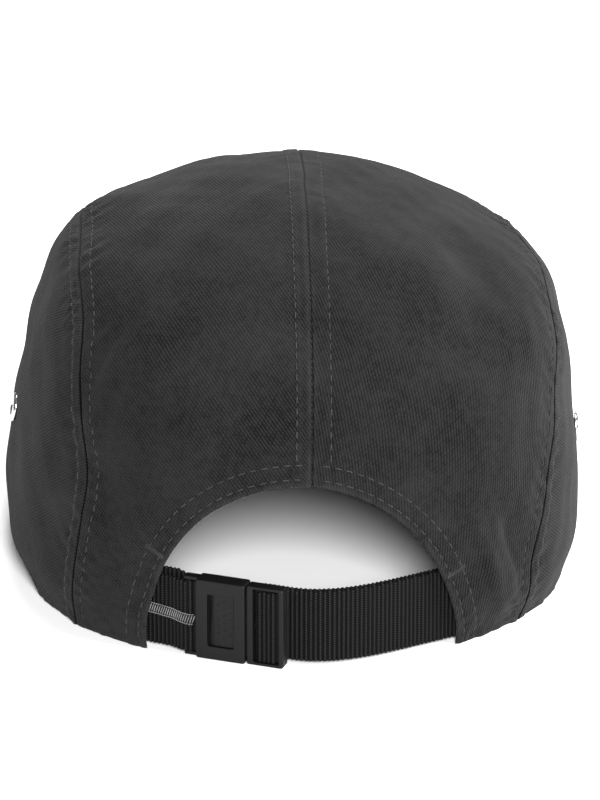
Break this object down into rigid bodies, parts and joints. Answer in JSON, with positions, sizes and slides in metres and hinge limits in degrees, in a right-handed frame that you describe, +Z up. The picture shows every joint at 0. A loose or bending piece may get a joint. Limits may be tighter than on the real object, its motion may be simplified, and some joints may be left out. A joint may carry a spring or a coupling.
{
  "type": "jockey cap",
  "caption": "Soft cloth jockey cap with a centre seam over the top, side eyelets, a curved peak and an arch at the back closed by a webbing strap with a press buckle.",
  "frame": {"origin": "on the ground under the middle of the whole cap", "axes": "+Z up, +Y the way the peak points, +X to the wearer's right"},
  "size_m": [0.1872, 0.2682, 0.1239],
  "materials": {
    "twill": "matt cotton twill, dark charcoal",
    "webbing": "ribbed polyester webbing, black",
    "buckle_plastic": "moulded matt plastic, black",
    "nickel": "bright nickel plate"
  },
  "bodies": {
    "root": {"front_panel": "twill", "crown_panel_left": "twill", "crown_panel_right": "twill", "side_panel_left": "twill", "side_panel_right": "twill", "peak": "twill", "eyelet_left": "nickel", "eyelet_right": "nickel", "strap_left": "webbing", "strap_right": "webbing", "buckle_socket": "buckle_plastic", "buckle_tongue": "buckle_plastic"}
  },
  "joints": []
}
